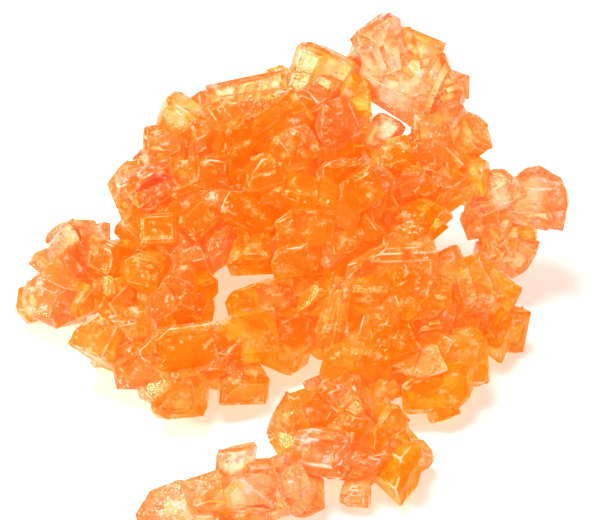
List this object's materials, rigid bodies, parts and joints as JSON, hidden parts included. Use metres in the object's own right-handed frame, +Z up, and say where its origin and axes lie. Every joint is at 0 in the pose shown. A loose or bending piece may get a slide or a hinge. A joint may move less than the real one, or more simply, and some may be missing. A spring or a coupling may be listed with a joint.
{
  "type": "rock candy cluster",
  "caption": "Heap of orange rock candy: sugar crystals grown along strings that are piled up and grown together into one solid, see-through mass.",
  "frame": {"origin": "centre of the bounding box on the floor the heap rests on", "axes": "+Z up; -Y is the low front end that trails off, +Y the high back; +X to the right as seen from the front"},
  "size_m": [0.1112, 0.1134, 0.0545],
  "materials": {
    "sugar_crystal": "clear and milky orange sugar crystals with smooth shining faces and frosted patches"
  },
  "bodies": {
    "root": {"candy_heap": "sugar_crystal"}
  },
  "joints": []
}
